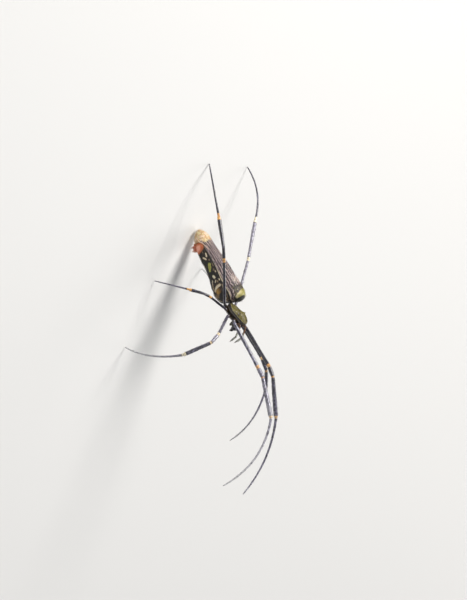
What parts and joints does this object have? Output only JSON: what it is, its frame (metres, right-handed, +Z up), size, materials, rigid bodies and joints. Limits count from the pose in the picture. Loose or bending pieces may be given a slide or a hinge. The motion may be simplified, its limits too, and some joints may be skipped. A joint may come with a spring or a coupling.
{
  "type": "golden silk orb weaver",
  "caption": "Life-size still model of a large female orb-weaving spider, head end raised, standing on its rear legs with the front legs held up and forward.",
  "frame": {"origin": "on the floor, under the middle of the spider's bounding box", "axes": "+X forward along the floor, the way the raised front legs point; +Y to the spider's left; +Z up"},
  "size_m": [0.1364, 0.069, 0.0741],
  "materials": {
    "abdomen": "soft leathery skin, dark brown with fine pale lines along it and cream and yellow spots",
    "carapace": "hard shell under short flat hair, dull olive and gold",
    "eye": "clear black lens",
    "feelers": "orange-brown shell with short bristles, grey at the tip",
    "jaws": "glossy black shell with a violet cast",
    "leg_chitin": "glossy black shell with yellow to orange rings at the joints and short bristles",
    "pedicel": "dark flexible stalk",
    "spinnerets": "soft orange-red cones with short hair",
    "sternum": "dark shell with a dull shine"
  },
  "bodies": {
    "root": {"abdomen": "abdomen", "carapace": "carapace", "chelicera_left": "jaws", "chelicera_right": "jaws", "eye_front_middle_left": "eye", "eye_front_middle_right": "eye", "eye_front_side_left": "eye", "eye_front_side_right": "eye", "eye_rear_middle_left": "eye", "eye_rear_middle_right": "eye", "eye_rear_side_left": "eye", "eye_rear_side_right": "eye", "fang_left": "jaws", "fang_right": "jaws", "leg_left_1_coxa": "leg_chitin", "leg_left_1_femur": "leg_chitin", "leg_left_1_metatarsus": "leg_chitin", "leg_left_1_tarsus": "leg_chitin", "leg_left_1_tibia": "leg_chitin", "leg_left_2_coxa": "leg_chitin", "leg_left_2_femur": "leg_chitin", "leg_left_2_metatarsus": "leg_chitin", "leg_left_2_tarsus": "leg_chitin", "leg_left_2_tibia": "leg_chitin", "leg_left_3_coxa": "leg_chitin", "leg_left_3_femur": "leg_chitin", "leg_left_3_metatarsus": "leg_chitin", "leg_left_3_tarsus": "leg_chitin", "leg_left_3_tibia": "leg_chitin", "leg_left_4_coxa": "leg_chitin", "leg_left_4_femur": "leg_chitin", "leg_left_4_metatarsus": "leg_chitin", "leg_left_4_tarsus": "leg_chitin", "leg_left_4_tibia": "leg_chitin", "leg_right_1_coxa": "leg_chitin", "leg_right_1_femur": "leg_chitin", "leg_right_1_metatarsus": "leg_chitin", "leg_right_1_tarsus": "leg_chitin", "leg_right_1_tibia": "leg_chitin", "leg_right_2_coxa": "leg_chitin", "leg_right_2_femur": "leg_chitin", "leg_right_2_metatarsus": "leg_chitin", "leg_right_2_tarsus": "leg_chitin", "leg_right_2_tibia": "leg_chitin", "leg_right_3_coxa": "leg_chitin", "leg_right_3_femur": "leg_chitin", "leg_right_3_metatarsus": "leg_chitin", "leg_right_3_tarsus": "leg_chitin", "leg_right_3_tibia": "leg_chitin", "leg_right_4_coxa": "leg_chitin", "leg_right_4_femur": "leg_chitin", "leg_right_4_metatarsus": "leg_chitin", "leg_right_4_tarsus": "leg_chitin", "leg_right_4_tibia": "leg_chitin", "palp_left": "feelers", "palp_right": "feelers", "pedicel": "pedicel", "spinnerets": "spinnerets", "sternum": "sternum"}
  },
  "joints": []
}
